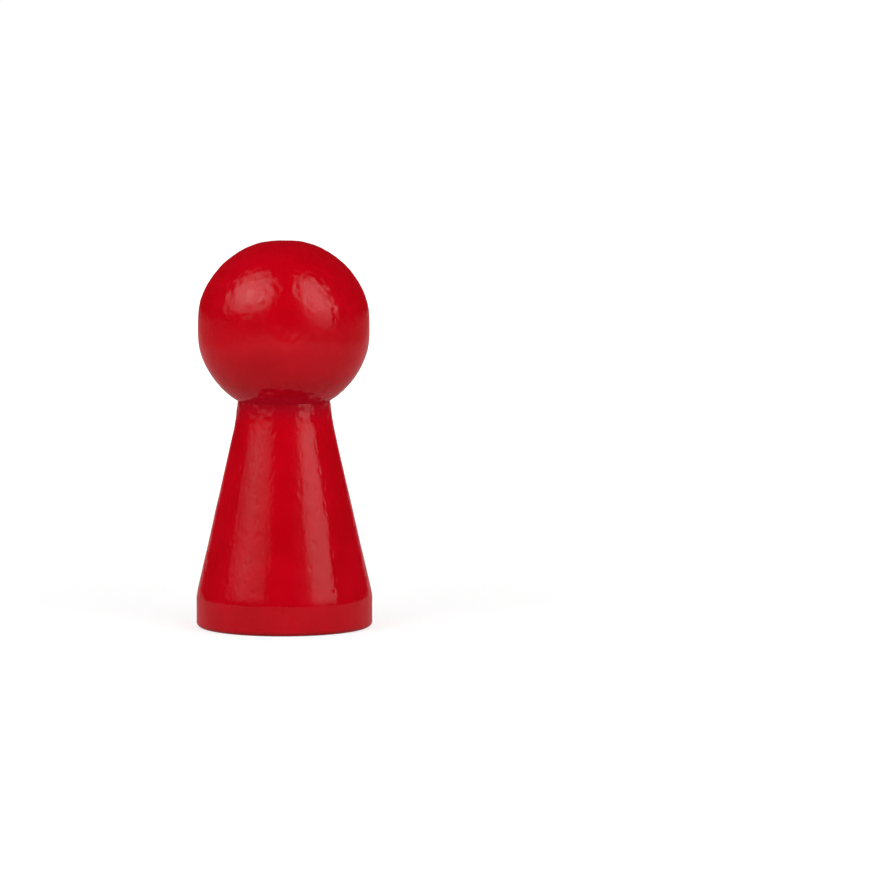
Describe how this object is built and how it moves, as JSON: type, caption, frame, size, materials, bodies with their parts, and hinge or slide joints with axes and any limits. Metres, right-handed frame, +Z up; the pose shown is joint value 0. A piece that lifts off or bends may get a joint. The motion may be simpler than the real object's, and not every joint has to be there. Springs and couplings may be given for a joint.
{
  "type": "halma peg",
  "caption": "Turned wooden halma peg: a ball head doweled and glued to a cone body with a straight foot band, lacquered red, moved by hand across a board.",
  "frame": {"origin": "centre of the round base, on the surface that the peg stands on", "axes": "+Z up along the turning axis, from the base through the neck to the top of the ball"},
  "size_m": [0.018, 0.018, 0.0394],
  "materials": {
    "red_lacquer": "turned beech, drum-lacquered opaque red, satin gloss",
    "bare_beech": "bare beech with pressed glue flutes, matt"
  },
  "bodies": {
    "root": {"cone_body": "red_lacquer", "ball_head": "red_lacquer", "dowel_pin": "bare_beech"}
  },
  "joints": []
}
